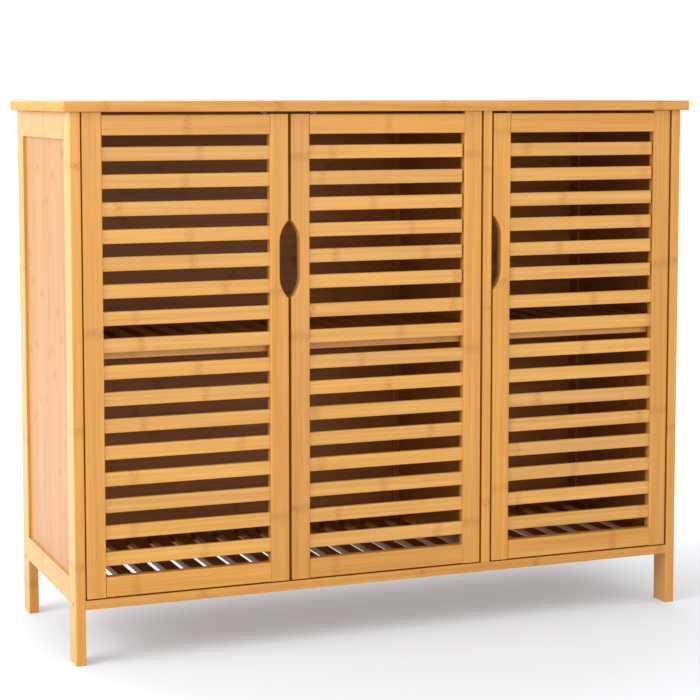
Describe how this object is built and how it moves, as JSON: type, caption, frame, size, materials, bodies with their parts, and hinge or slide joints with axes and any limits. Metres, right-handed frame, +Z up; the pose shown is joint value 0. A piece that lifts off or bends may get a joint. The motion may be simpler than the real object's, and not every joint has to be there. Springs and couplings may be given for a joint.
{
  "type": "shoe cabinet",
  "caption": "Bamboo shoe cabinet on short square legs: slatted pivot doors with finger cut-outs, framed side panels, slatted shelves inside and an overhanging top.",
  "frame": {"origin": "on the floor, below the middle of the top panel", "axes": "+Z up, +X to the right seen from the front, doors face -Y"},
  "size_m": [0.997, 0.353, 0.8],
  "materials": {
    "bamboo": "clear satin lacquer",
    "bamboo_side_panel": "clear satin lacquer",
    "bamboo_inner": "brown stain, matt",
    "beech_dowel": "bare",
    "steel_hardware": "zinc plated",
    "zinc_hardware": "nickel plated",
    "nylon": "brown, moulded"
  },
  "bodies": {
    "cabinet": {"top_panel": "bamboo", "front_left_leg": "bamboo", "front_right_leg": "bamboo", "back_left_leg": "bamboo", "back_right_leg": "bamboo", "left_side_top_rail": "bamboo", "left_side_bottom_rail": "bamboo", "left_side_panel": "bamboo_side_panel", "right_side_top_rail": "bamboo", "right_side_bottom_rail": "bamboo", "right_side_panel": "bamboo_side_panel", "front_bottom_rail": "bamboo", "back_bottom_rail": "bamboo", "back_top_rail": "bamboo", "back_stile": "bamboo", "back_panel_left": "bamboo_inner", "back_panel_right": "bamboo_inner", "centre_post": "bamboo", "partition_panel": "bamboo_inner", "mid_shelf_left_rails": "bamboo", "mid_shelf_left_slats": "bamboo_inner", "mid_shelf_right_rails": "bamboo", "mid_shelf_right_slats": "bamboo_inner", "bottom_shelf_left_slats": "bamboo_inner", "bottom_shelf_right_slats": "bamboo_inner", "shelf_pins": "steel_hardware", "door_magnets": "zinc_hardware", "pivot_bushings": "nylon", "side_dowels": "beech_dowel", "top_dowels": "beech_dowel", "barrel_nuts": "zinc_hardware", "frame_bolts": "steel_hardware"},
    "door_1": {"door_1_hinge_stile": "bamboo", "door_1_free_stile": "bamboo", "door_1_top_rail": "bamboo", "door_1_bottom_rail": "bamboo", "door_1_slats": "bamboo", "door_1_dowels": "beech_dowel", "door_1_pivot_pins": "steel_hardware", "door_1_strike_plate": "steel_hardware"},
    "door_2": {"door_2_hinge_stile": "bamboo", "door_2_free_stile": "bamboo", "door_2_top_rail": "bamboo", "door_2_bottom_rail": "bamboo", "door_2_slats": "bamboo", "door_2_dowels": "beech_dowel", "door_2_pivot_pins": "steel_hardware", "door_2_strike_plate": "steel_hardware"},
    "door_3": {"door_3_hinge_stile": "bamboo", "door_3_free_stile": "bamboo", "door_3_top_rail": "bamboo", "door_3_bottom_rail": "bamboo", "door_3_slats": "bamboo", "door_3_dowels": "beech_dowel", "door_3_pivot_pins": "steel_hardware", "door_3_strike_plate": "steel_hardware"}
  },
  "joints": [
    {"name": "door_1_hinge", "type": "hinge", "parent": "cabinet", "child": "door_1", "pos_m": [-0.464, -0.1625, 0.4388], "axis": [0, 0, -1], "range_deg": [0, 100]},
    {"name": "door_2_hinge", "type": "hinge", "parent": "cabinet", "child": "door_2", "pos_m": [0.13767, -0.1625, 0.4388], "axis": [0, 0, 1], "range_deg": [0, 100]},
    {"name": "door_3_hinge", "type": "hinge", "parent": "cabinet", "child": "door_3", "pos_m": [0.463, -0.1625, 0.4388], "axis": [0, 0, 1], "range_deg": [0, 100]}
  ]
}
